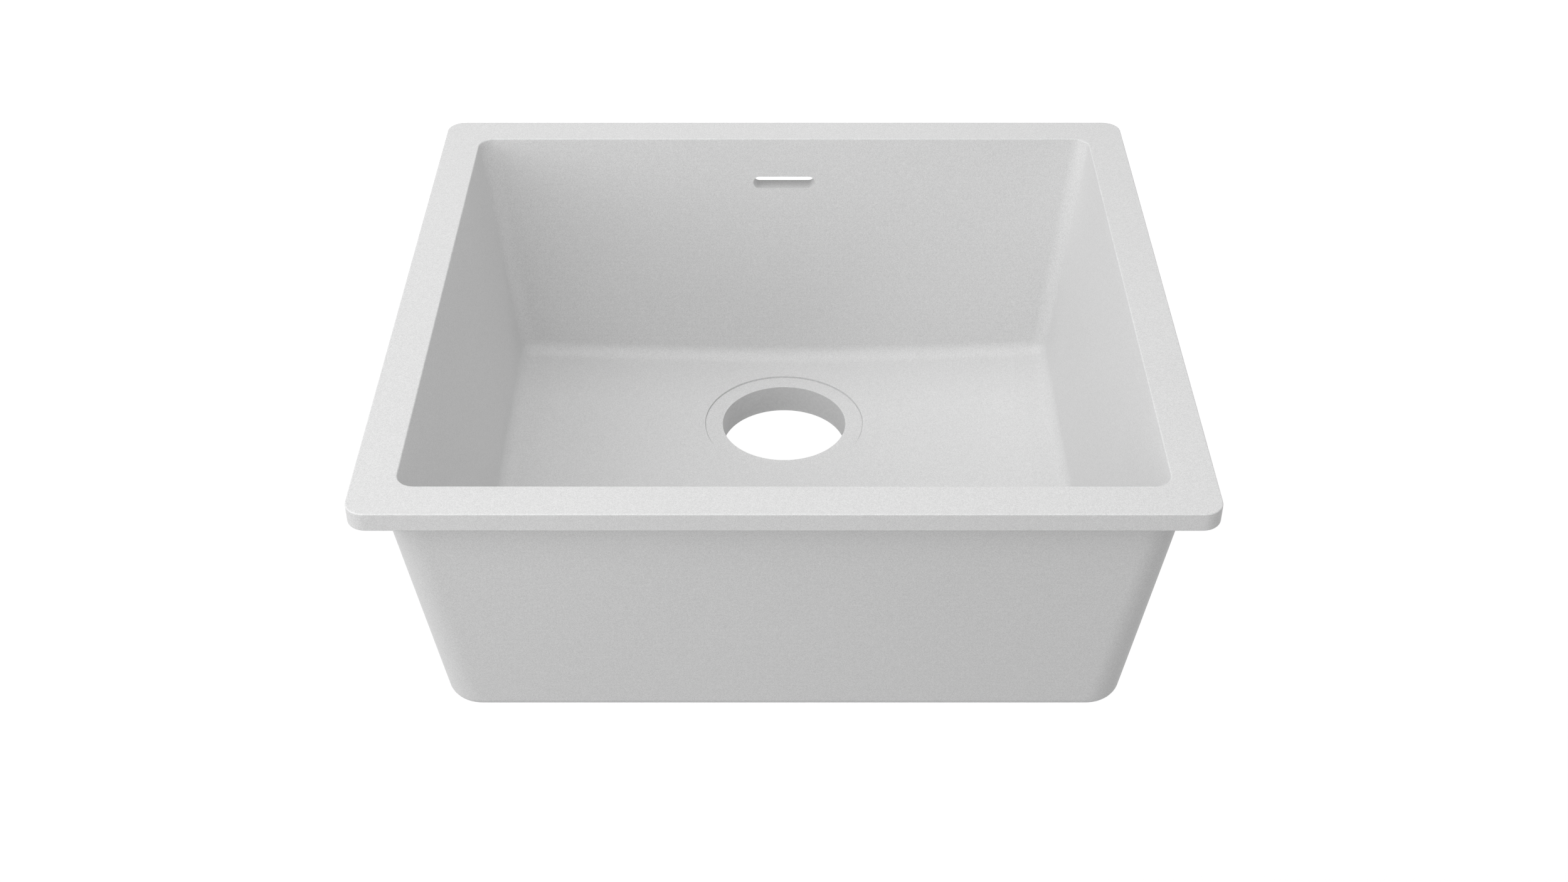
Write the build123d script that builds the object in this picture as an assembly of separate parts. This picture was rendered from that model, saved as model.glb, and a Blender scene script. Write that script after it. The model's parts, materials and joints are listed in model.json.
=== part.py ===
from build123d import *
from math import cos, radians, tan
import os

# Undermount kitchen sink: a cast composite bowl with moulded-in threaded inserts under its rim,
# and swivel clips on studs that clamp the board the sink hangs in. Millimetres, +Z up, +X right
# and +Y to the back. The origin is the centre of the rim's top face.

# Rim
rim_length = 490.0
rim_width = 456.0
rim_thickness = 12.0
rim_ledge = 25.5
rim_corner_radius = 12.0
rim_edge_radius = 0.8

# Bowl
wall_thickness = 12.5
wall_draft = 7.1
inner_radius = 10.8
outer_corner_radius = 22.2
under_rim_radius = 2.5
base_depth = 182.5
base_edge_radius = 7.3
floor_thickness = 11.5
floor_fall = 2.34
pad_inset = 9.0

# Drain, towards the back of the bowl
drain_offset = 98.0
drain_radius = 45.0
seat_radius = 57.8
seat_depth = 177.9
seat_step = 1.0
drain_length = 21.5
boss_wall = 13.0
boss_chamfer = 2.0

# Overflow slot in the back wall
overflow_depth = 33.6
overflow_length = 45.0
overflow_height = 9.1

# M6 inserts, flush with the rim's underside
thread_radius = 3.0
thread_clearance = 0.05
insert_radius = 4.0
insert_length = 9.0
insert_groove_width = 1.6
insert_groove_depth = 0.4
insert_setback = 7.5
side_spacing = 250.0
end_spacing = 280.0

# Studs
stud_drop = 50.0
stud_chamfer = 0.6

# Nut, washer and clip, stacked from the stud's lower end
nut_width = 10.0
nut_height = 5.0
nut_chamfer = 0.5
stud_tail = 1.5
washer_radius = 6.0
washer_thickness = 1.6
sliding_clearance = 0.10
face_clearance = 0.05
clip_thickness = 2.0
clip_width = 12.0
clip_reach = 34.0
clip_lift = 10.0
clip_bend_radius = 1.2
clip_teeth = 4
clip_tooth_height = 1.4
clip_stowed = -90.0
rib_width = 4.0
rib_rise = 0.8
rib_start = 8.0
rib_end_gap = 6.0

# Places that follow from the sizes above
overlap = 5.0
hair = 1e-3
slope = tan(radians(floor_fall))
draft = tan(radians(wall_draft))
opening_length = rim_length - 2 * rim_ledge
opening_width = rim_width - 2 * rim_ledge
body_length = opening_length + 2 * wall_thickness
body_width = opening_width + 2 * wall_thickness
boss_radius = drain_radius + boss_wall
drain_bottom = -(seat_depth + drain_length)
stud_top = insert_length - rim_thickness
stud_bottom = -(rim_thickness + stud_drop)
nut_bottom = stud_bottom + stud_tail
washer_bottom = nut_bottom + nut_height + face_clearance
clip_bottom = washer_bottom + washer_thickness + face_clearance

# Each insert's name, place and outward direction in degrees from +X
side_x = rim_length / 2 - insert_setback
end_y = rim_width / 2 - insert_setback
side_y = side_spacing / 2
end_x = end_spacing / 2
clip_stations = {
    "left_front": (-side_x, -side_y, 180),
    "left_back": (-side_x, side_y, 180),
    "right_front": (side_x, -side_y, 0),
    "right_back": (side_x, side_y, 0),
    "back_left": (-end_x, end_y, 90),
    "back_right": (end_x, end_y, 90),
}
spare_stations = {
    "front_left": (-end_x, -end_y, 270),
    "front_right": (end_x, -end_y, 270),
}


def drafted_block(length, width, depth):
    """A block hanging from the rim's top plane, whose walls lean in by the wall's draft."""
    lean = draft * depth
    ends = (lean, lean, length - lean, width - lean)
    return Rot(X=-90) * Wedge(length, depth, width, *ends, align=(Align.CENTER, Align.MIN, Align.CENTER))


def uprights(block, depth):
    """The edges at which the walls of a drafted block meet."""
    return block.edges().filter_by(lambda edge: edge.bounding_box().size.Z > depth / 2)


def below_the_dish(depth_at_seat):
    """Everything under a shallow cone about the drain, with this depth at the seat's edge."""
    far = rim_length + rim_width
    low = 2 * (seat_depth + drain_length)
    tip = -(depth_at_seat + slope * seat_radius)
    section = Polyline((0, 0, tip), (far, 0, tip + slope * far), (far, 0, -low), (0, 0, -low), close=True)
    return Pos(0, drain_offset) * revolve(make_face(section), Axis.Z)


def round_bar(radius, bottom, top):
    """An upright cylinder between two heights."""
    return Pos(0, 0, (bottom + top) / 2) * Cylinder(radius, top - bottom)


def flat_loop(solid, height, length, width):
    """The edges of a solid that lie at one height, within a rectangle of this size."""

    def within(edge):
        box = edge.bounding_box()
        level = abs(box.min.Z - height) < hair and abs(box.max.Z - height) < hair
        reach_x = max(box.max.X, -box.min.X)
        reach_y = max(box.max.Y, -box.min.Y)
        return level and reach_x < length / 2 and reach_y < width / 2

    return solid.edges().filter_by(within)


def cavity():
    """The hollow of the bowl: drafted walls and a dished floor, all meeting at one inner radius."""
    depth = seat_depth + overlap
    hollow = drafted_block(opening_length, opening_width, depth) - below_the_dish(seat_depth - seat_step)
    foot = hollow.faces().filter_by(GeomType.CONE).edges()
    return fillet(uprights(hollow, depth) + foot, inner_radius)


def outer_body():
    """The bowl's outside: drafted walls, a flat base, and a pad and boss under the dished floor."""
    walls = drafted_block(body_length, body_width, base_depth)
    walls = fillet(uprights(walls, base_depth), outer_corner_radius)
    walls = fillet(flat_loop(walls, -base_depth, rim_length, rim_width), base_edge_radius)
    shrink = 2 * (draft * base_depth + pad_inset)
    outline = RectangleRounded(body_length - shrink, body_width - shrink, outer_corner_radius)
    pad_top = overlap - base_depth
    pad = extrude(Pos(0, 0, drain_bottom) * outline, amount=pad_top - drain_bottom)
    pad -= below_the_dish(seat_depth - seat_step + floor_thickness)
    boss = round_bar(boss_radius, drain_bottom, pad_top)
    boss = chamfer(flat_loop(boss, drain_bottom, rim_length, rim_width), boss_chamfer)
    return walls + pad + Pos(0, drain_offset) * boss


def rim():
    """The flat flange that the bowl hangs from."""
    outline = RectangleRounded(rim_length, rim_width, rim_corner_radius)
    slab = extrude(outline, amount=-rim_thickness)
    return fillet(slab.edges().filter_by(Plane.XY), rim_edge_radius)


def insert_plug():
    """The outside of an insert: a cylinder with a groove that the cast composite grips."""
    plug = round_bar(insert_radius, -rim_thickness, stud_top)
    middle = (stud_top - rim_thickness) / 2
    low = middle - insert_groove_width / 2
    groove = round_bar(2 * insert_radius, low, low + insert_groove_width)
    core = round_bar(insert_radius - insert_groove_depth, -rim_thickness, stud_top)
    return plug - (groove - core)


def insert():
    """A brass insert with its M6 bore."""
    bore = round_bar(thread_radius + thread_clearance, -rim_thickness - overlap, stud_top + overlap)
    return insert_plug() - bore


def stud():
    """A headless M6 stud that fills its insert."""
    bar = round_bar(thread_radius, stud_bottom, stud_top)
    return chamfer(bar.edges().filter_by(GeomType.CIRCLE), stud_chamfer)


def washer():
    """A flat washer that slides on the stud and carries the clip."""
    top = washer_bottom + washer_thickness
    hole = round_bar(thread_radius + sliding_clearance, washer_bottom - overlap, top + overlap)
    return round_bar(washer_radius, washer_bottom, top) - hole


def nut():
    """A hexagon nut with chamfered corners."""
    hexagon = RegularPolygon(nut_width / 2, 6, major_radius=False)
    body = extrude(Pos(0, 0, nut_bottom) * hexagon, amount=nut_height)
    corner = nut_width / (2 * cos(radians(30)))
    nut_top = nut_bottom + nut_height
    blank = round_bar(corner, nut_bottom, nut_top)
    blank = chamfer(blank.edges().filter_by(GeomType.CIRCLE), nut_chamfer)
    bore = round_bar(thread_radius + thread_clearance, nut_bottom - overlap, nut_top + overlap)
    return (body & blank) - bore


def teeth(top):
    """The notches between the teeth that bite the board, along the top of the clip's tip."""
    pitch = clip_width / clip_teeth
    mouth = (pitch / 2, clip_tooth_height)
    notch = make_face(Polyline((0, 0), mouth, (-pitch / 2, clip_tooth_height), close=True))
    cutter = Pos(0, 0, top - clip_tooth_height) * extrude(Plane.YZ * notch, amount=2 * clip_reach)
    return [Pos(0, pitch * (step - clip_teeth / 2)) * cutter for step in range(clip_teeth + 1)]


def pressed_rib(width, bottom):
    """The shape of the stiffening rib that is pressed into the clip's arm."""
    length = clip_reach - clip_thickness - rib_end_gap - rib_start
    outline = Pos(rib_start + length / 2, 0, bottom) * SlotOverall(length, width)
    return extrude(outline, amount=rib_rise)


def clip():
    """A swivel clip, drawn pointing outwards along +X: a ribbed arm and an upturned, toothed tip."""
    face = clip_bottom + clip_thickness
    top = clip_bottom + clip_lift
    low_corner = Align.MIN, Align.CENTER, Align.MIN
    length = clip_width + clip_reach
    arm = Pos(-clip_width, 0, clip_bottom) * Box(length, clip_width, clip_thickness, align=low_corner)
    inner = clip_reach - clip_thickness
    leg = Pos(inner, 0, clip_bottom) * Box(clip_thickness, clip_width, clip_lift, align=low_corner)
    body = arm + leg
    across = body.edges().filter_by(Axis.Y)
    body = fillet(across.sort_by_distance((clip_reach, 0, clip_bottom))[0], clip_bend_radius + clip_thickness)
    across = body.edges().filter_by(Axis.Y)
    body = fillet(across.sort_by_distance((inner, 0, face))[0], clip_bend_radius)
    heel = round_bar(clip_width / 2, clip_bottom, top)
    strip = Pos(0, 0, clip_bottom) * Box(clip_reach, clip_width, clip_lift, align=low_corner)
    body = body & (heel + strip)
    body += pressed_rib(rib_width, face)
    body -= pressed_rib(rib_width - 2 * rib_rise, clip_bottom)
    body -= round_bar(thread_radius + sliding_clearance, clip_bottom - overlap, face + overlap)
    return body - teeth(top)


def overflow_slot():
    """The slot through the back wall, with round ends."""
    outline = SlotOverall(overflow_length, overflow_height)
    face = Plane(origin=(0, 0, -overflow_depth), x_dir=(1, 0, 0), z_dir=(0, 1, 0)) * outline
    return extrude(face, amount=rim_width)


def sink_bowl():
    """The whole casting, with its openings and the pockets of its inserts."""
    bowl = rim() + outer_body()
    bowl = fillet(flat_loop(bowl, -rim_thickness, 2 * side_x, 2 * end_y), under_rim_radius)
    bowl -= cavity()
    bowl = fillet(flat_loop(bowl, 0, 2 * side_x, 2 * end_y), rim_edge_radius)
    drain = Pos(0, drain_offset)
    bowl -= drain * round_bar(seat_radius, -seat_depth, overlap - seat_depth)
    bowl -= drain * round_bar(drain_radius, drain_bottom - overlap, overlap - seat_depth)
    bowl -= overflow_slot()
    return bowl - [place * insert_plug() for place in places.values()]


stations = clip_stations | spare_stations
places = {name: Pos(x, y) * Rot(Z=heading) for name, (x, y, heading) in stations.items()}
pieces = {"sink_bowl": sink_bowl()}
for name, place in places.items():
    pieces[f"insert_{name}"] = place * insert()
for name in clip_stations:
    place = places[name]
    pieces[f"stud_{name}"] = place * stud()
    pieces[f"washer_{name}"] = place * washer()
    pieces[f"nut_{name}"] = place * nut()
    pieces[f"clip_{name}"] = place * Rot(Z=clip_stowed) * clip()

os.makedirs("parts", exist_ok=True)
for name, piece in pieces.items():
    export_step(piece, f"parts/{name}.step")
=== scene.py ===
"""An undermount kitchen sink of white cast composite, with the screw-and-clip sets that hang it."""

import json
from math import ceil, cos, floor, hypot, pi, radians, sin, tan

import bmesh
import bpy
from bmesh.types import BMEdge, BMVert
from mathutils import Matrix, Vector

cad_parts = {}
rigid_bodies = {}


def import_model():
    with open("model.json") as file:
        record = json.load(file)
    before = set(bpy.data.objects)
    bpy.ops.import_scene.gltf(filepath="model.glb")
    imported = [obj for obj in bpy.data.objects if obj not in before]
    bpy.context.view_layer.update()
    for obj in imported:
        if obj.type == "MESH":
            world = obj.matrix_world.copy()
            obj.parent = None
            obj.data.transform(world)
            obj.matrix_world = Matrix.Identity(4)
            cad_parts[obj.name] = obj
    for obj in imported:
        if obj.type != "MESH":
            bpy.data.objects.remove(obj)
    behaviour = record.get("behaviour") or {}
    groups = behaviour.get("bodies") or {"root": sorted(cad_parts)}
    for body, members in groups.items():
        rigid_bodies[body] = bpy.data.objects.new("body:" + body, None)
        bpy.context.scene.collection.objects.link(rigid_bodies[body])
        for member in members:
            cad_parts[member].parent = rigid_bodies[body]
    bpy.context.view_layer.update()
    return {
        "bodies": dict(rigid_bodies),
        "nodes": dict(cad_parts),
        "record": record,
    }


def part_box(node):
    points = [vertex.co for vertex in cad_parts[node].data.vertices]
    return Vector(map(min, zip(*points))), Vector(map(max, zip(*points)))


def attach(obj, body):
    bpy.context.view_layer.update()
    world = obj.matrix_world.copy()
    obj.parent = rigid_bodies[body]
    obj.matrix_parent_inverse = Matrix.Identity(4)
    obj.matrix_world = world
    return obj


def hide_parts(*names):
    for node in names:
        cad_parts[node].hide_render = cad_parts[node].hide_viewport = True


MM = 0.001

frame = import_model()

# ---------------------------------------------------------------- sizes of the bowl

BOWL_LOW, BOWL_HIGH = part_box("sink_bowl")
RIM_HALF_X = BOWL_HIGH.x
RIM_HALF_Y = BOWL_HIGH.y
BOSS_BOTTOM = BOWL_LOW.z

RIM_THICKNESS = 12.0 * MM
RIM_LEDGE = 25.5 * MM
RIM_CORNER = 12.0 * MM
RIM_EDGE = 0.8 * MM
UNDER_RIM = 2.5 * MM
WALL = 12.5 * MM
DRAFT = radians(7.1)
INNER_RADIUS = 10.8 * MM
OUTER_CORNER = 22.2 * MM
BASE_DEPTH = 182.5 * MM
BASE_EDGE = 7.3 * MM
FLOOR_THICKNESS = 11.5 * MM
FLOOR_FALL = radians(2.34)
PAD_INSET = 9.0 * MM
CAST_EDGE = 0.2 * MM

mounts = {mount["name"]: mount for mount in frame["record"]["mounts"]}
DRAIN = Vector(mounts["drain_outlet"]["pos_m"])
DRAIN_RADIUS = mounts["drain_outlet"]["dims"]["r_mm"] * MM
SEAT_RADIUS = 57.8 * MM
SEAT_DEPTH = 177.9 * MM
SEAT_STEP = 1.0 * MM
SEAT_DRAFT = radians(8)
SEAT_GROOVE = 0.45 * MM
BOSS_WALL = 13.0 * MM
BOSS_CHAMFER = 2.0 * MM
SLOT_DEPTH = 33.6 * MM
SLOT_LENGTH = 45.0 * MM
SLOT_HEIGHT = 9.1 * MM

# ---------------------------------------------------------------- sizes of the fixings

INSERT_RADIUS = 4.0 * MM
INSERT_GROOVE = 1.6 * MM
INSERT_GROOVE_DEPTH = 0.4 * MM
INSERT_CHAMFER = 0.125 * MM
FACING = {"left": pi, "right": 0, "back": pi / 2, "front": -pi / 2}

THREAD_PITCH = 1.0 * MM
THREAD_CREST = 3.0 * MM
THREAD_ROOT = 2.39 * MM
TAPPED_BORE = THREAD_ROOT - THREAD_PITCH / 8
RUNNING_CLEARANCE = 0.05 * MM
SLIDING_CLEARANCE = 0.10 * MM
STUD_CHAMFER = 0.6 * MM

NUT_SIDES = 6
NUT_WIDTH = 10.0 * MM
NUT_FACE_RADIUS = 4.85 * MM
NUT_CHAMFER = radians(30)
NUT_EDGE = 0.2 * MM
WASHER_RADIUS = 6.0 * MM
WASHER_EDGE = 0.25 * MM

CLIP_THICKNESS = 2.0 * MM
CLIP_WIDTH = 12.0 * MM
CLIP_REACH = 34.0 * MM
CLIP_BEND = 1.2 * MM
CLIP_TEETH = 4
CLIP_TOOTH_HEIGHT = 1.4 * MM
CLIP_STOWED = -pi / 2
STRIP_EDGE = 0.2 * MM
RIB_WIDTH = 4.0 * MM
RIB_RISE = 0.8 * MM
RIB_ROUNDING = 0.6 * RIB_RISE
RIB_GROOVE_ROUNDING = 0.4 * RIB_RISE
RIB_START = 8.0 * MM
RIB_END_GAP = 6.0 * MM

# ---------------------------------------------------------------- fineness of the meshes

CORNER_STEPS = 14
SIDE_STEPS = 24
EDGE_STEPS = 4
FOOT_STEPS = 10
PAD_RINGS = 8
ROUND_STEPS = 160
ROUND_END_STEPS = 24
SMALL_ROUND_STEPS = 64
POCKET_STEPS = 48
THREAD_STEPS = 24
BEND_STEPS = 8
NUT_EDGE_STEPS = 3
BEVEL_STEPS = 2

# Edges of the casting and of the clips that turn by more than these angles are rounded by a hair,
# and edges of any fixing that turn by more than the last are shaded as sharp.
CAST_ANGLE = radians(30)
CLIP_ANGLE = radians(35)
SHARP_ANGLE = radians(28)

# Points nearer than these are one: on turned shapes, in a half round, and between two rings.
SAME_POINT = 1e-6
SAME_ROUND_END = 1e-5
SAME_RING_POINT = 0.05 * MM

# The smallest corner that a ring has, how far over the base a face still belongs to it, the share
# of the dish that one face closes, and how much wider than its strip a clip's plan is drawn.
LEAST_CORNER = 0.02 * MM
BASE_SLACK = 0.01 * MM
DISH_MIDDLE = 0.1
PAST_STRIP = 1.001


# ---------------------------------------------------------------- shader maths

class Maths:
    """A shader socket that Python's operators work on."""

    def __init__(self, finish, socket):
        self.finish = finish
        self.socket = socket

    def joined(self, operation, first, second):
        node = self.finish.node("ShaderNodeMath", {0: first, 1: second}, operation=operation)
        return Maths(self.finish, node.outputs[0])

    def __add__(self, other):
        return self.joined("ADD", self, other)

    def __radd__(self, other):
        return self.joined("ADD", other, self)

    def __mul__(self, other):
        return self.joined("MULTIPLY", self, other)

    def __rmul__(self, other):
        return self.joined("MULTIPLY", other, self)

    def larger(self, other):
        return self.joined("MAXIMUM", self, other)


class Finish:
    """One material or world, and the nodes that make its surface."""

    def __init__(self, owner):
        self.owner = owner
        owner.use_nodes = True
        self.tree = owner.node_tree
        self.tree.nodes.clear()

    def node(self, kind, inputs=None, **settings):
        """A node of any type: its settings are set first, and then its sockets."""
        made = self.tree.nodes.new(kind)
        for name, value in settings.items():
            setattr(made, name, value)
        for key, value in (inputs or {}).items():
            self.feed(made.inputs[key], value)
        return made

    def feed(self, socket, value):
        if isinstance(value, Maths):
            value = value.socket
        if isinstance(value, bpy.types.NodeSocket):
            self.tree.links.new(value, socket)
        else:
            socket.default_value = value

    def value(self, node, output):
        return Maths(self, node.outputs[output])

    def place(self):
        """Object coordinates, in metres."""
        return self.node("ShaderNodeTexCoord").outputs["Object"]

    def own_place(self):
        """Coordinates in the piece's own frame, as it was drawn before it was put in its place."""
        return self.node("ShaderNodeAttribute", attribute_name="own_place").outputs["Vector"]

    def scaled(self, place, factors):
        inputs = {0: place, 1: factors}
        return self.node("ShaderNodeVectorMath", inputs, operation="MULTIPLY").outputs[0]

    def length(self, place):
        node = self.node("ShaderNodeVectorMath", {0: place}, operation="LENGTH")
        return self.value(node, "Value")

    def lathe_place(self):
        """Distance from the piece's own axis, and height, so that a pattern runs round it."""
        own = self.own_place()
        radius = self.length(self.scaled(own, (1, 1, 0)))
        height = self.value(self.node("ShaderNodeSeparateXYZ", {0: own}), "Z")
        return self.node("ShaderNodeCombineXYZ", {"X": radius, "Y": height}).outputs[0]

    def noise(self, size, detail=2.0, roughness=0.5, place=None):
        """Soft noise between 0 and 1, whose blotches are about this size."""
        inputs = {"Vector": place or self.place(), "Scale": 1 / size,
                  "Detail": detail, "Roughness": roughness}
        return self.value(self.node("ShaderNodeTexNoise", inputs), "Fac")

    def speckle(self, size):
        """A tone from 0 to 1 that differs from each grain of this size to the next."""
        inputs = {"Vector": self.place(), "Scale": 1 / size}
        return self.value(self.node("ShaderNodeTexVoronoi", inputs), "Color")

    def step(self, value, low, high):
        """0 below low, 1 above high and smooth between them."""
        inputs = {"Value": value, "From Min": low, "From Max": high}
        node = self.node("ShaderNodeMapRange", inputs, interpolation_type="SMOOTHSTEP")
        return self.value(node, "Result")

    def blend(self, factor, first, second):
        """A colour between two colours."""
        inputs = {0: factor, 6: first, 7: second}
        return self.node("ShaderNodeMix", inputs, data_type="RGBA").outputs[2]

    def bump(self, height, distance, strength):
        """The normal of a surface with this relief, in metres."""
        inputs = {"Height": height, "Distance": distance, "Strength": strength}
        return self.node("ShaderNodeBump", inputs).outputs[0]

    def surface(self, **inputs):
        """The shader that ends the tree."""
        named = {name.replace("_", " "): value for name, value in inputs.items()}
        shader = self.node("ShaderNodeBsdfPrincipled", named)
        self.node("ShaderNodeOutputMaterial", {"Surface": shader.outputs[0]})
        return self.owner


def grey(level):
    return (level, level, level, 1)


def new_finish(name):
    return Finish(bpy.data.materials.new(name))


# ---------------------------------------------------------------- materials

def cast_composite():
    """White mineral composite: fine quartz sand in resin, with a satin moulded skin."""
    f = new_finish("cast_composite")
    sand = f.speckle(0.45 * MM)
    cloud = f.noise(0.15)
    tone = sand * 0.85 + cloud * 0.15
    colour = f.blend(tone, grey(0.63), grey(0.87))
    rough = 0.38 + sand * 0.08 + cloud * 0.06
    skin = f.noise(0.6 * MM)
    normal = f.bump(skin, 0.012 * MM, 0.4)
    return f.surface(Base_Color=colour, Roughness=rough, Normal=normal)


def raw_composite():
    """The same casting on its back and in its bore: coarser and duller as moulded, and painted lighter
    to lift the bore's shade.
    """
    f = new_finish("raw_composite")
    sand = f.speckle(0.6 * MM)
    granules = f.step(f.noise(2.2 * MM, detail=3.0, roughness=0.65), 0.30, 0.70)
    flow = f.noise(0.05, detail=3.0)
    tone = sand * 0.45 + granules * 0.40 + flow * 0.15
    # Painted light: this tone is lighter than the cast skin's, to lift the shade in the drain's bore.
    # The coarser, duller surface is real.
    colour = f.blend(tone, grey(0.75), grey(0.90))
    rough = 0.62 + granules * 0.14
    normal = f.bump(granules + sand * 0.3, 0.06 * MM, 0.5)
    return f.surface(Base_Color=colour, Roughness=rough, Normal=normal)


def bright_zinc():
    """Zinc-plated steel: bright and faintly blue, with the plate's soft mottling."""
    f = new_finish("bright_zinc")
    cloud = f.noise(2.5 * MM, detail=3.0)
    rings = f.noise(0.10 * MM, place=f.lathe_place())
    grain = f.noise(0.12 * MM)
    colour = f.blend(f.step(cloud, 0.35, 0.65), (0.60, 0.62, 0.64, 1), (0.72, 0.73, 0.74, 1))
    rough = 0.20 + cloud * 0.14 + grain * 0.06 + rings * 0.06
    normal = f.bump(grain + rings * 0.6, 0.008 * MM, 0.4)
    return f.surface(Base_Color=colour, Metallic=1.0, Roughness=rough, Normal=normal)


def rolled_strip():
    """Stainless strip as it is rolled: a satin with fine lines along it, and a few scuffs."""
    f = new_finish("rolled_strip")
    along = f.scaled(f.own_place(), (0.03, 1, 1))
    lines = f.noise(0.12 * MM, detail=3.0, place=along)
    scuffs = f.step(f.noise(1.6 * MM, detail=4.0, roughness=0.7), 0.52, 0.72)
    grain = f.noise(0.07 * MM)
    tone = lines * 0.7 + scuffs * 0.3
    colour = f.blend(tone, (0.50, 0.49, 0.47, 1), (0.64, 0.63, 0.61, 1))
    rough = 0.26 + lines * 0.12 + scuffs * 0.12
    normal = f.bump(lines + grain * 0.4, 0.006 * MM, 0.5)
    return f.surface(Base_Color=colour, Metallic=1.0, Roughness=rough, Normal=normal)


def turned_brass():
    """Machined brass, a little dulled, with the tool's fine rings."""
    f = new_finish("turned_brass")
    cloud = f.noise(2.0 * MM, detail=3.0)
    rings = f.noise(0.09 * MM, place=f.lathe_place())
    colour = f.blend(f.step(cloud, 0.35, 0.65), (0.58, 0.41, 0.17, 1), (0.76, 0.57, 0.27, 1))
    rough = 0.22 + cloud * 0.12 + rings * 0.14
    normal = f.bump(rings, 0.012 * MM, 0.5)
    return f.surface(Base_Color=colour, Metallic=1.0, Roughness=rough, Normal=normal)


# ---------------------------------------------------------------- mesh tools

def piece_of(bm, name):
    """A scene object from a bmesh, in the frame's own place."""
    mesh = bpy.data.meshes.new(name)
    bm.to_mesh(mesh)
    bm.free()
    piece = bpy.data.objects.new(name, mesh)
    bpy.context.scene.collection.objects.link(piece)
    return piece


def only(kind, items):
    return [item for item in items if isinstance(item, kind)]


def loop_verts(loop):
    return list({vert for edge in loop for vert in edge.verts})


def rectangle(bm, length, width):
    """Draws a flat face about the origin, and gives its four corners."""
    corners = bmesh.ops.create_grid(bm, x_segments=1, y_segments=1, size=0.5)["verts"]
    bmesh.ops.scale(bm, vec=(length, width, 1), verts=corners)
    return corners


def rounded(bm, geom, radius, steps, affect="VERTICES"):
    """Rounds the corners of a flat face, or the edges of a solid."""
    bmesh.ops.bevel(
        bm, geom=geom, offset=radius, segments=steps, profile=0.5, affect=affect, material=-1)


def half_rounds(bm, corners, width):
    """Rounds the corners of a strip of this width until they meet in a half round."""
    rounded(bm, corners, width / 2 - SAME_POINT, ROUND_END_STEPS)
    bmesh.ops.remove_doubles(bm, verts=bm.verts, dist=SAME_ROUND_END)


def ring(bm, half_x, half_y, radius, z):
    """A closed loop of edges at one height: a rectangle with round corners."""
    before = set(bm.edges)
    corners = rectangle(bm, 2 * half_x, 2 * half_y)
    bmesh.ops.translate(bm, vec=(0, 0, z), verts=corners)
    rounded(bm, corners, radius, CORNER_STEPS)
    made = [edge for edge in bm.edges if edge not in before]
    faces = {face for edge in made for face in edge.link_faces}
    bmesh.ops.delete(bm, geom=list(faces), context="FACES_ONLY")
    straight = sorted(made, key=lambda edge: edge.calc_length())[-4:]
    bmesh.ops.subdivide_edges(bm, edges=straight, cuts=SIDE_STEPS - 1)
    return [edge for edge in bm.edges if edge not in before]


def join_stacked(bm, loops):
    """Joins each loop to the next.

    They stand a metre apart meanwhile, so that none turns against another.
    """
    for level, loop in enumerate(loops):
        bmesh.ops.translate(bm, vec=(0, 0, level), verts=loop_verts(loop))
    for first, second in zip(loops, loops[1:]):
        bmesh.ops.bridge_loops(bm, edges=first + second)
    for level, loop in enumerate(loops):
        bmesh.ops.translate(bm, vec=(0, 0, -level), verts=loop_verts(loop))


def arc(radius, start, end, steps=EDGE_STEPS):
    """Points (across, up) from the middle of an arc, from one angle to another."""
    angles = [start + (end - start) * step / steps for step in range(steps + 1)]
    return [(radius * cos(angle), radius * sin(angle)) for angle in angles]


def raised(bm, way):
    """Draws flat faces out into a closed solid."""
    made = bmesh.ops.extrude_face_region(bm, geom=bm.faces[:], use_keep_orig=True)["geom"]
    bmesh.ops.translate(bm, vec=way, verts=only(BMVert, made))
    bmesh.ops.recalc_face_normals(bm, faces=bm.faces)


def round_ended(bm, length, width, height):
    """An upright block over the origin, whose plan is a slot with round ends."""
    half_rounds(bm, rectangle(bm, length, width), width)
    raised(bm, (0, 0, height))


def turned(bm, profile, centre, steps=ROUND_STEPS):
    """A closed solid turned about an upright axis, from points of (radius, z)."""
    verts = [bm.verts.new((centre.x + radius, centre.y, z)) for radius, z in profile]
    edges = [bm.edges.new(pair) for pair in zip(verts, verts[1:])]
    bmesh.ops.spin(
        bm, geom=verts + edges, cent=(centre.x, centre.y, 0), axis=(0, 0, 1), angle=2 * pi,
        steps=steps, use_merge=True)
    bmesh.ops.remove_doubles(bm, verts=bm.verts, dist=SAME_POINT)
    bmesh.ops.recalc_face_normals(bm, faces=bm.faces)


def turned_piece(name, profile):
    """A small solid turned about its own upright axis."""
    bm = bmesh.new()
    turned(bm, profile, Vector(), SMALL_ROUND_STEPS)
    return piece_of(bm, name)


def tube(name, inner, outer):
    """A turned ring, from its inside profile going up and its outside profile going down."""
    profile = inner + outer
    return turned_piece(name, profile + profile[:1])


def combine(piece, tool, operation):
    """Joins a tool to a piece or cuts it out, and uses the tool up."""
    change = piece.modifiers.new(operation.lower(), "BOOLEAN")
    change.operation = operation
    change.solver = "EXACT"
    change.object = tool
    graph = bpy.context.evaluated_depsgraph_get()
    mesh = bpy.data.meshes.new_from_object(piece.evaluated_get(graph))
    piece.modifiers.clear()
    piece.data = mesh
    bpy.data.objects.remove(tool)


def smooth(piece):
    for polygon in piece.data.polygons:
        polygon.use_smooth = True


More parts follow.
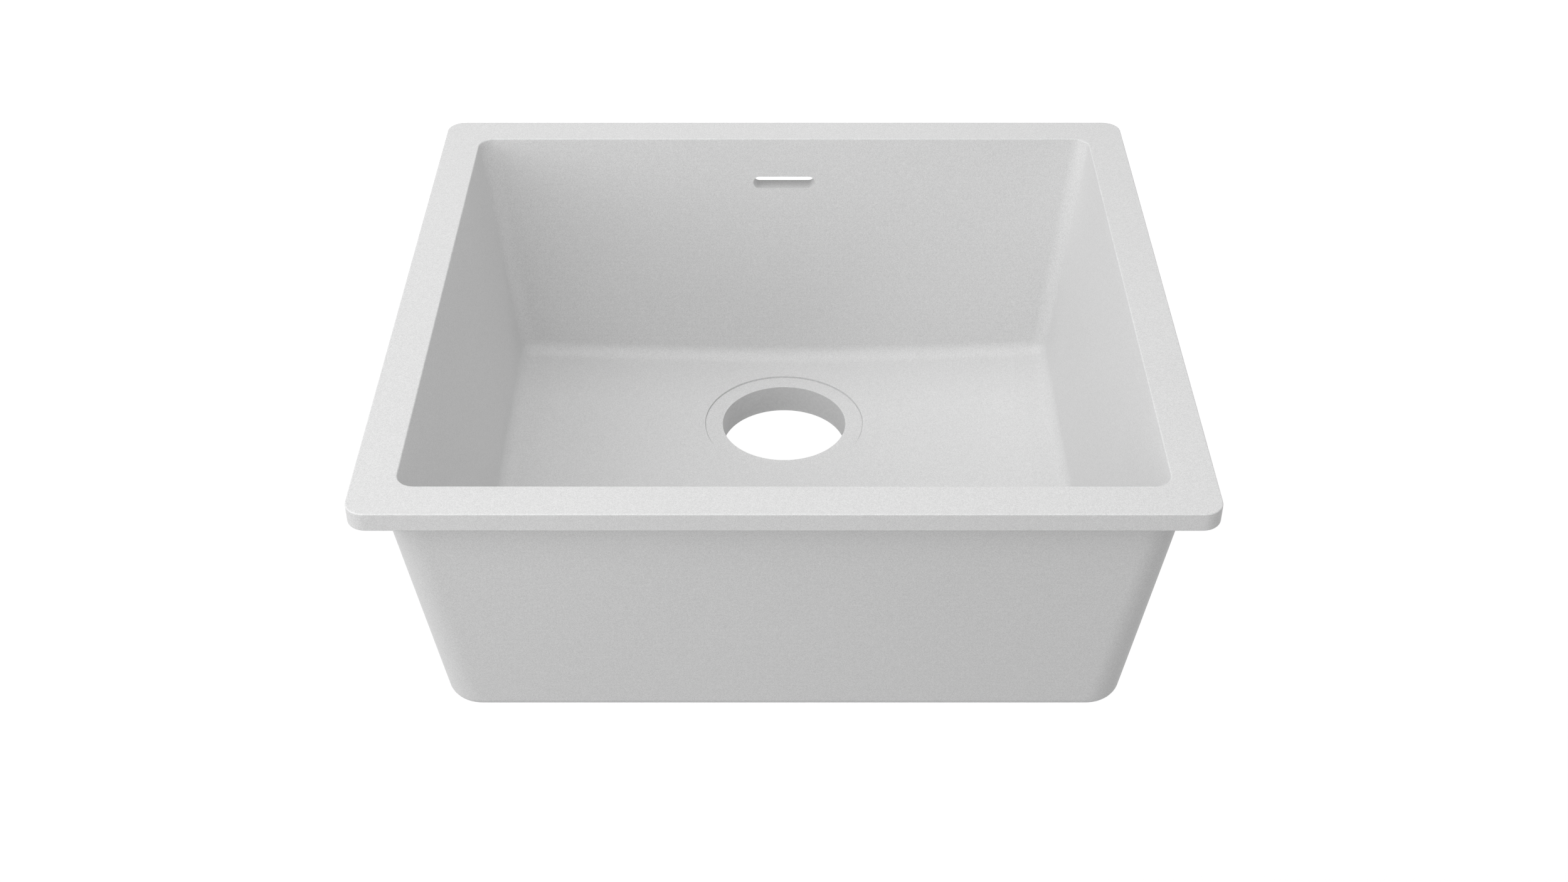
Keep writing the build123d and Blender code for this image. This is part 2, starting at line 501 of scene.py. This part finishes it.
def soften(piece, width, angle):
    """Rounds a piece's sharp edges by a hair and shades it smoothly."""
    smooth(piece)
    bevel = piece.modifiers.new("bevel", "BEVEL")
    bevel.width = width
    bevel.segments = BEVEL_STEPS
    bevel.limit_method = "ANGLE"
    bevel.angle_limit = angle
    bevel.use_clamp_overlap = True
    normals = piece.modifiers.new("normals", "WEIGHTED_NORMAL")
    normals.keep_sharp = True


def dress(piece, *finishes):
    """Gives a piece its materials, in the order that its faces count them."""
    piece.data.materials.clear()
    for finish in finishes:
        piece.data.materials.append(finish)


# ---------------------------------------------------------------- the bowl

def inserts():
    """The station and the box of each threaded insert."""
    for node in frame["nodes"]:
        if node.startswith("insert_"):
            yield node.removeprefix("insert_"), *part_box(node)


def dish(x, y):
    """Height of the bowl's dished floor."""
    away = hypot(x - DRAIN.x, y - DRAIN.y) - SEAT_RADIUS
    return SEAT_STEP - SEAT_DEPTH + tan(FLOOR_FALL) * away


def underside(x, y):
    """Height of the casting's bottom: its flat base, or the pad that follows the dish."""
    return min(-BASE_DEPTH, dish(x, y) - FLOOR_THICKNESS)


def drafted(half, z):
    """Where a wall that starts at this half size has come to at a height."""
    return half + tan(DRAFT) * z


def foot_reach(radius):
    """How far in from a drafted wall's foot the rounding there ends."""
    return radius * (1 / cos(DRAFT) - tan(DRAFT))


def foot(radius):
    """The rounding between a flat and a wall over it: how far in from their meeting, and how far up."""
    reach = foot_reach(radius)
    return [(reach - across, radius - up) for across, up in arc(radius, DRAFT, pi / 2, FOOT_STEPS)]


def outer_rings(bm):
    """The outside, from the base up the walls to the rim's top face."""
    body_x = RIM_HALF_X - RIM_LEDGE + WALL
    body_y = RIM_HALF_Y - RIM_LEDGE + WALL
    base_x = drafted(body_x, -BASE_DEPTH)
    base_y = drafted(body_y, -BASE_DEPTH)
    loops = []
    for height in (underside, lambda x, y: -BASE_DEPTH):
        loop = ring(bm, base_x - PAD_INSET, base_y - PAD_INSET, OUTER_CORNER, 0)
        for vert in loop_verts(loop):
            vert.co.z = height(vert.co.x, vert.co.y)
        loops.append(loop)
    for inset, up in reversed(foot(BASE_EDGE)):
        loops.append(ring(bm, base_x - inset, base_y - inset, OUTER_CORNER - inset, up - BASE_DEPTH))
    middle_z = -RIM_THICKNESS - UNDER_RIM
    away = UNDER_RIM / cos(DRAFT)
    for across, up in arc(UNDER_RIM, pi - DRAFT, pi / 2):
        out = away + across
        x = drafted(body_x, middle_z) + out
        y = drafted(body_y, middle_z) + out
        loops.append(ring(bm, x, y, OUTER_CORNER + out, middle_z + up))
    for middle_z, turns in ((-RIM_THICKNESS + RIM_EDGE, (-pi / 2, 0)), (-RIM_EDGE, (0, pi / 2))):
        for across, up in arc(RIM_EDGE, *turns):
            inset = RIM_EDGE - across
            x = RIM_HALF_X - inset
            y = RIM_HALF_Y - inset
            loops.append(ring(bm, x, y, RIM_CORNER - inset, middle_z + up))
    return loops


def inner_rings(bm):
    """The inside, from the rim's edge down the walls to the foot of the dished floor."""
    open_x = RIM_HALF_X - RIM_LEDGE
    open_y = RIM_HALF_Y - RIM_LEDGE
    loops = []
    away = RIM_EDGE / cos(DRAFT)
    for across, up in arc(RIM_EDGE, pi / 2, pi - DRAFT):
        out = away + across
        x = drafted(open_x, -RIM_EDGE) + out
        y = drafted(open_y, -RIM_EDGE) + out
        loops.append(ring(bm, x, y, INNER_RADIUS + out, up - RIM_EDGE))
    for inset, up in foot(INNER_RADIUS):
        x = drafted(open_x, -SEAT_DEPTH) - inset
        y = drafted(open_y, -SEAT_DEPTH) - inset
        loop = ring(bm, x, y, max(foot_reach(INNER_RADIUS) - inset, LEAST_CORNER), 0)
        for vert in loop_verts(loop):
            grow = tan(DRAFT) * (dish(vert.co.x, vert.co.y) + SEAT_DEPTH)
            vert.co.x *= 1 + grow / x
            vert.co.y *= 1 + grow / y
            vert.co.z = dish(vert.co.x, vert.co.y) + up
        loops.append(loop)
    return loops


def fan(bm, loop, height, shares):
    """Fills a loop with rings that close in on the drain, each vertex at the surface's height."""
    before = 1
    for share in shares:
        loop = only(BMEdge, bmesh.ops.extrude_edge_only(bm, edges=loop)["geom"])
        for vert in loop_verts(loop):
            vert.co.x = DRAIN.x + (vert.co.x - DRAIN.x) * share / before
            vert.co.y = DRAIN.y + (vert.co.y - DRAIN.y) * share / before
            vert.co.z = height(vert.co.x, vert.co.y)
        before = share
    bmesh.ops.edgeloop_fill(bm, edges=loop)


def casting():
    """The bowl in one closed skin, before its openings are cut."""
    bm = bmesh.new()
    loops = outer_rings(bm) + inner_rings(bm)
    join_stacked(bm, loops)
    fan(bm, loops[0], underside, [1 - step / PAD_RINGS for step in range(1, PAD_RINGS)])
    fan(bm, loops[-1], dish, [DISH_MIDDLE])
    bmesh.ops.remove_doubles(bm, verts=bm.verts, dist=SAME_RING_POINT)
    bmesh.ops.recalc_face_normals(bm, faces=bm.faces)
    return piece_of(bm, "bowl")


def boss():
    """The thick ring under the floor that the waste is clamped to."""
    bm = bmesh.new()
    outer = DRAIN_RADIUS + BOSS_WALL
    top = -BASE_DEPTH - FLOOR_THICKNESS / 2
    profile = [(0, BOSS_BOTTOM), (outer - BOSS_CHAMFER, BOSS_BOTTOM),
               (outer, BOSS_BOTTOM + BOSS_CHAMFER), (outer, top), (0, top)]
    turned(bm, profile, DRAIN)
    return piece_of(bm, "boss")


def drain_cutter():
    """What is open in the drain: its hole, and the shallow seat over it with a fine groove round it."""
    bm = bmesh.new()
    seat = -SEAT_DEPTH
    low = 2 * seat
    rise = 5 * SEAT_STEP
    ledge = SEAT_RADIUS - SEAT_GROOVE
    groove = seat - SEAT_GROOVE
    profile = [(0, low), (DRAIN_RADIUS, low), (DRAIN_RADIUS, seat), (ledge, seat), (ledge, groove),
               (SEAT_RADIUS, groove), (SEAT_RADIUS, seat),
               (SEAT_RADIUS + rise * tan(SEAT_DRAFT), seat + rise), (0, seat + rise)]
    turned(bm, profile, DRAIN)
    return piece_of(bm, "drain_cutter")


def slot_cutter():
    """What is open in the overflow slot, through the back wall."""
    bm = bmesh.new()
    round_ended(bm, SLOT_LENGTH, SLOT_HEIGHT, 3 * WALL)
    turn = Matrix.Translation((0, RIM_HALF_Y, -SLOT_DEPTH)) @ Matrix.Rotation(pi / 2, 4, "X")
    bmesh.ops.transform(bm, matrix=turn, verts=bm.verts)
    return piece_of(bm, "slot_cutter")


def pocket_cutter():
    """The pockets of the threaded inserts, which run past the rim's underside."""
    bm = bmesh.new()
    past = RIM_THICKNESS / 4
    for _, low, high in inserts():
        middle = (low + high) / 2
        made = bmesh.ops.create_cone(
            bm, cap_ends=True, segments=POCKET_STEPS, radius1=INSERT_RADIUS, radius2=INSERT_RADIUS,
            depth=high.z - low.z + past)
        place = (middle.x, middle.y, middle.z - past / 2)
        bmesh.ops.translate(bm, vec=place, verts=made["verts"])
    return piece_of(bm, "pocket_cutter")


def sink_bowl():
    """The whole casting, with its raw finish, painted lighter, on the base, the boss and the drain's
    bore.
    """
    piece = casting()
    combine(piece, boss(), "UNION")
    for cutter in (drain_cutter, slot_cutter, pocket_cutter):
        combine(piece, cutter(), "DIFFERENCE")
    soften(piece, CAST_EDGE, CAST_ANGLE)
    dress(piece, cast_composite(), raw_composite())
    for polygon in piece.data.polygons:
        polygon.material_index = int(polygon.center.z < -BASE_DEPTH + BASE_SLACK)
    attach(piece, "sink")
    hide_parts("sink_bowl")


sink_bowl()


# ---------------------------------------------------------------- the fixings

def stations():
    """Each insert's place and the way it faces, in radians from +X."""
    found = {}
    for station, low, high in inserts():
        middle = (low + high) / 2
        found[station] = Vector((middle.x, middle.y, 0)), FACING[station.split("_")[0]]
    return found


def heights(kind):
    """The lowest and highest point of one kind of fixing, the same at every station."""
    low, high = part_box(f"{kind}_left_front")
    return low.z, high.z


def screw(bottom, top, clearance=0):
    """A right-handed M6 screw that runs past two heights, with a long point at each end."""
    bm = bmesh.new()
    crest = THREAD_CREST + clearance
    root = THREAD_ROOT + clearance
    # Radius and share of the pitch: along the crest, down a flank and along the root.
    shape = ((crest, 0), (crest, 1 / 8), (root, 7 / 16), (root, 11 / 16))
    turns = range(floor(bottom / THREAD_PITCH) - 1, ceil(top / THREAD_PITCH) + 1)
    verts = [bm.verts.new((radius, 0, (turn + share) * THREAD_PITCH))
             for turn in turns for radius, share in shape]
    edges = [bm.edges.new(pair) for pair in zip(verts, verts[1:])]
    rise = (0, 0, THREAD_PITCH / THREAD_STEPS)
    bmesh.ops.spin(
        bm, geom=verts + edges, cent=(0, 0, 0), axis=(0, 0, 1), dvec=rise, angle=2 * pi,
        steps=THREAD_STEPS)
    bmesh.ops.remove_doubles(bm, verts=bm.verts, dist=SAME_POINT)
    middle = (bottom + top) / 2
    ends = [edge for edge in bm.edges if edge.is_boundary]
    for side in (-1, 1):
        loop = [edge for edge in ends if (edge.verts[0].co.z - middle) * side > 0]
        made = bmesh.ops.extrude_edge_only(bm, edges=loop)["geom"]
        tip = (0, 0, middle + side * (top - bottom))
        bmesh.ops.pointmerge(bm, verts=only(BMVert, made), merge_co=tip)
    bmesh.ops.recalc_face_normals(bm, faces=bm.faces)
    return piece_of(bm, "screw")


def stud():
    """A headless M6 stud with chamfered ends."""
    bottom, top = heights("stud")
    past = THREAD_CREST + RUNNING_CLEARANCE
    end = THREAD_CREST - STUD_CHAMFER
    rise = past - end
    profile = [(0, bottom), (end, bottom), (past, bottom + rise),
               (past, top - rise), (end, top), (0, top)]
    piece = turned_piece("stud", profile)
    combine(piece, screw(bottom, top), "INTERSECT")
    return piece


def tapped_hole(bottom, top):
    """The inside profile of an M6 hole that is countersunk at both ends."""
    mouth = THREAD_CREST + 2 * RUNNING_CLEARANCE
    sink = mouth - TAPPED_BORE
    return [(mouth, bottom), (TAPPED_BORE, bottom + sink), (TAPPED_BORE, top - sink), (mouth, top)]


def insert():
    """A turned brass insert with an M6 thread, and a groove that the casting grips."""
    bottom, top = heights("insert")
    waist = INSERT_RADIUS - INSERT_GROOVE_DEPTH
    middle = (bottom + top) / 2
    low = middle - INSERT_GROOVE / 2
    high = middle + INSERT_GROOVE / 2
    outer = [(INSERT_RADIUS, top), (INSERT_RADIUS, high), (waist, high), (waist, low),
             (INSERT_RADIUS, low), (INSERT_RADIUS, bottom + INSERT_CHAMFER),
             (INSERT_RADIUS - INSERT_CHAMFER, bottom)]
    piece = tube("insert", tapped_hole(bottom, top), outer)
    combine(piece, screw(bottom, top, RUNNING_CLEARANCE), "DIFFERENCE")
    return piece


def hexagon(bottom, top, corner):
    """A hexagonal bar that runs past two heights, with its edges a little rounded."""
    bm = bmesh.new()
    sides = bmesh.ops.create_cone(
        bm, cap_ends=True, segments=NUT_SIDES, radius1=corner, radius2=corner,
        depth=2 * (top - bottom))["verts"]
    turn = Matrix.Translation((0, 0, (bottom + top) / 2)) @ Matrix.Rotation(pi / 2, 4, "Z")
    bmesh.ops.transform(bm, matrix=turn, verts=sides)
    upright = [edge for edge in bm.edges
               if abs(edge.verts[0].co.z - edge.verts[1].co.z) > top - bottom]
    rounded(bm, upright, NUT_EDGE, NUT_EDGE_STEPS, "EDGES")
    return piece_of(bm, "hexagon")


def nut():
    """A hexagon nut: chamfered on both faces, countersunk and tapped."""
    bottom, top = heights("nut")
    corner = NUT_WIDTH / 2 / cos(pi / NUT_SIDES)
    past = corner + RUNNING_CLEARANCE
    fall = (past - NUT_FACE_RADIUS) * tan(NUT_CHAMFER)
    outer = [(NUT_FACE_RADIUS, top), (past, top - fall), (past, bottom + fall),
             (NUT_FACE_RADIUS, bottom)]
    piece = tube("nut", tapped_hole(bottom, top), outer)
    combine(piece, hexagon(bottom, top, corner), "INTERSECT")
    combine(piece, screw(bottom, top, RUNNING_CLEARANCE), "DIFFERENCE")
    return piece


def washer():
    """A stamped flat washer, with rounded edges."""
    bottom, top = heights("washer")
    low = bottom + WASHER_EDGE
    high = top - WASHER_EDGE
    hole = THREAD_CREST + SLIDING_CLEARANCE + WASHER_EDGE
    rim = WASHER_RADIUS - WASHER_EDGE
    edges = ((hole, low, -pi / 2), (hole, high, pi), (rim, high, pi / 2), (rim, low, 0))
    profile = [(radius + across, z + up) for radius, z, start in edges
               for across, up in arc(WASHER_EDGE, start, start - pi / 2)]
    return turned_piece("washer", profile + profile[:1])


def bent_strip(bottom, top):
    """The clip's side view, drawn out across its width: a flat arm and an upturned tip."""
    bm = bmesh.new()
    face = bottom + CLIP_THICKNESS
    heel = -CLIP_WIDTH / 2
    inner = CLIP_REACH - CLIP_THICKNESS
    outline = [(heel, bottom), (CLIP_REACH, bottom), (CLIP_REACH, top),
               (inner, top), (inner, face), (heel, face)]
    verts = [bm.verts.new((x, -CLIP_WIDTH / 2, z)) for x, z in outline]
    bm.faces.new(verts)
    for corner, radius in ((verts[1], CLIP_BEND + CLIP_THICKNESS), (verts[4], CLIP_BEND)):
        rounded(bm, [corner], radius, BEND_STEPS)
    raised(bm, (0, CLIP_WIDTH, 0))
    return piece_of(bm, "clip")


def heel_outline(bottom, top):
    """The clip's plan: a half-round heel about the stud and a square tip."""
    bm = bmesh.new()
    corners = rectangle(bm, CLIP_REACH + CLIP_WIDTH / 2, CLIP_WIDTH)
    middle = ((CLIP_REACH - CLIP_WIDTH / 2) / 2, 0, bottom - CLIP_THICKNESS)
    bmesh.ops.translate(bm, vec=middle, verts=corners)
    half_rounds(bm, [vert for vert in corners if vert.co.x < 0], CLIP_WIDTH)
    bmesh.ops.scale(bm, vec=(1, PAST_STRIP, 1), verts=bm.verts)
    raised(bm, (0, 0, top - bottom + 2 * CLIP_THICKNESS))
    return piece_of(bm, "heel_outline")


def pressed_rib(width, bottom, rounding):
    """The stiffening rib pressed up into the clip's arm, or the groove under it."""
    bm = bmesh.new()
    length = CLIP_REACH - CLIP_THICKNESS - RIB_END_GAP - RIB_START
    round_ended(bm, length, width, RIB_RISE + STRIP_EDGE)
    top = [edge for edge in bm.edges if min(vert.co.z for vert in edge.verts) > RIB_RISE]
    rounded(bm, top, rounding, EDGE_STEPS, "EDGES")
    place = (RIB_START + length / 2, 0, bottom - STRIP_EDGE)
    bmesh.ops.translate(bm, vec=place, verts=bm.verts)
    return piece_of(bm, "rib")


def teeth_cutter(top):
    """Everything above the clip's row of blunt teeth."""
    bm = bmesh.new()
    half_pitch = CLIP_WIDTH / CLIP_TEETH / 2
    low = top - CLIP_TOOTH_HEIGHT
    high = top + CLIP_TOOTH_HEIGHT
    levels = (low, top + STRIP_EDGE / 2)
    zigzag = [(half_pitch * step - CLIP_WIDTH / 2, levels[step % 2])
              for step in range(2 * CLIP_TEETH + 1)]
    side = CLIP_WIDTH / 2 + half_pitch / 2
    outline = [(-side, low)] + zigzag + [(side, low), (side, high), (-side, high)]
    bm.faces.new([bm.verts.new((CLIP_REACH / 2, y, z)) for y, z in outline])
    raised(bm, (CLIP_REACH, 0, 0))
    return piece_of(bm, "teeth_cutter")


def clip():
    """A swivel clip of pressed strip, drawn pointing outwards along +X."""
    bottom, top = heights("clip")
    face = bottom + CLIP_THICKNESS
    groove = RIB_WIDTH - 2 * RIB_RISE
    hole = THREAD_CREST + SLIDING_CLEARANCE
    hole_profile = [(0, bottom - hole), (hole, bottom - hole), (hole, top), (0, top)]
    piece = bent_strip(bottom, top)
    combine(piece, heel_outline(bottom, top), "INTERSECT")
    combine(piece, pressed_rib(RIB_WIDTH, face, RIB_ROUNDING), "UNION")
    combine(piece, pressed_rib(groove, bottom, RIB_GROOVE_ROUNDING), "DIFFERENCE")
    combine(piece, turned_piece("stud_hole", hole_profile), "DIFFERENCE")
    combine(piece, teeth_cutter(top), "DIFFERENCE")
    soften(piece, STRIP_EDGE, CLIP_ANGLE)
    return piece


def fit(kind, model, finish, turned_by=0):
    """Puts a copy of one fixing at every station that has it, in place of the plain node there."""
    for station, (place, facing) in stations().items():
        node = f"{kind}_{station}"
        if node in frame["nodes"]:
            piece = model.copy()
            piece.name = f"{station}_{kind}"
            piece.data = model.data.copy()
            own = piece.data.attributes.new("own_place", "FLOAT_VECTOR", "POINT")
            own.data.foreach_set("vector", [value for vert in model.data.vertices for value in vert.co])
            turn = Matrix.Rotation(facing + turned_by, 4, "Z")
            piece.data.transform(Matrix.Translation(place) @ turn)
            dress(piece, finish)
            smooth(piece)
            piece.data.set_sharp_from_angle(angle=SHARP_ANGLE)
            bpy.context.scene.collection.objects.link(piece)
            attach(piece, node if node in frame["bodies"] else "sink")
            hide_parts(node)
    bpy.data.objects.remove(model)


zinc = bright_zinc()
fit("insert", insert(), turned_brass())
fit("stud", stud(), zinc)
fit("washer", washer(), zinc)
fit("nut", nut(), zinc)
fit("clip", clip(), rolled_strip(), CLIP_STOWED)

# ---------------------------------------------------------------- floor, light and camera

FLOOR_Z = -0.87
FLOOR_REACH = 12
FLOOR_PALE = 0.20
FLOOR_GLOW = 0.84
FLOOR_MELT = (1.2, 2.4)
SKY_LEVEL = 0.405

BOWL_MIDDLE = (0, 0, -0.1)
CAMERA_PLACE = (0, -1.0941, 0.7036)
CAMERA_DOWN = radians(37)
CAMERA_LENS = 46.31
CAMERA_SENSOR = 36

# The name, place, width in metres and power in watts of each soft box.
LAMPS = (
    ("key", (-1.75, -0.45, 1.25), 2.4, 24.8),
    ("top", (0, 0.35, 2.2), 1.8, 12.2),
    ("high_front", (-0.2, -1.6, 1.6), 1.4, 7.3),
    ("low_front", (0.1, -1.7, 0.15), 1.0, 3.25),
    ("low_left", (-1.1, -1.45, 0.1), 1.0, 4.8),
    ("low_right", (1.9, 1.3, -0.3), 1.0, 3.5),
    ("low_back", (-0.6, 2.3, -0.3), 1.0, 3.5),
)


def seen_directly(f):
    """1 for what is seen, straight or mirrored, and 0 for the light that falls on surfaces."""
    path = f.node("ShaderNodeLightPath")
    seen = f.value(path, "Is Camera Ray")
    for ray in ("Is Glossy Ray", "Is Transmission Ray"):
        seen = seen.larger(f.value(path, ray))
    return seen


def studio_floor():
    """A pale floor, as far below the rim as a worktop stands over it, and clear from under it.

    It shines a little where it is seen, and melts into the backdrop's white further out.
    """
    bm = bmesh.new()
    corners = rectangle(bm, 2 * FLOOR_REACH, 2 * FLOOR_REACH)
    bmesh.ops.translate(bm, vec=(0, 0, FLOOR_Z), verts=corners)
    ground = piece_of(bm, "studio_floor")
    f = new_finish("studio_floor")
    melt = f.step(f.length(f.place()), *FLOOR_MELT)
    glow = f.blend(seen_directly(f), grey(0), f.blend(melt, grey(FLOOR_GLOW), grey(1)))
    pale = f.node("ShaderNodeBsdfPrincipled", {
        "Base Color": grey(FLOOR_PALE), "Roughness": 0.9,
        "Emission Color": glow, "Emission Strength": 1.0})
    clear = f.node("ShaderNodeBsdfTransparent")
    under = f.node("ShaderNodeNewGeometry").outputs["Backfacing"]
    both = f.node("ShaderNodeMixShader", {0: under, 1: pale.outputs[0], 2: clear.outputs[0]})
    f.node("ShaderNodeOutputMaterial", {"Surface": both.outputs[0]})
    dress(ground, f.owner)


def sky(level):
    """Even light from all round, and white where the background shows."""
    world = bpy.data.worlds.new("studio")
    bpy.context.scene.world = world
    f = Finish(world)
    strength = level + seen_directly(f) * (1 - level)
    backdrop = f.node("ShaderNodeBackground", {"Color": grey(1), "Strength": strength})
    f.node("ShaderNodeOutputWorld", {"Surface": backdrop.outputs[0]})


def lamp(name, place, size, power):
    """A square soft box that points at the bowl and stays out of the picture."""
    light = bpy.data.lights.new(name, "AREA")
    light.shape = "SQUARE"
    light.size = size
    light.energy = power
    source = bpy.data.objects.new(name, light)
    source.location = place
    aim = Vector(BOWL_MIDDLE) - Vector(place)
    source.rotation_euler = aim.to_track_quat("-Z", "Y").to_euler()
    source.visible_camera = False
    bpy.context.scene.collection.objects.link(source)


def camera():
    """The photograph's view: on the sink's middle plane, looking down from the front."""
    data = bpy.data.cameras.new("camera")
    data.lens = CAMERA_LENS
    data.sensor_width = CAMERA_SENSOR
    view = bpy.data.objects.new("camera", data)
    view.location = CAMERA_PLACE
    view.rotation_euler = (pi / 2 - CAMERA_DOWN, 0, 0)
    bpy.context.scene.collection.objects.link(view)
    bpy.context.scene.camera = view


studio_floor()
sky(SKY_LEVEL)
for soft_box in LAMPS:
    lamp(*soft_box)
camera()
bpy.context.scene.view_settings.view_transform = "Standard"
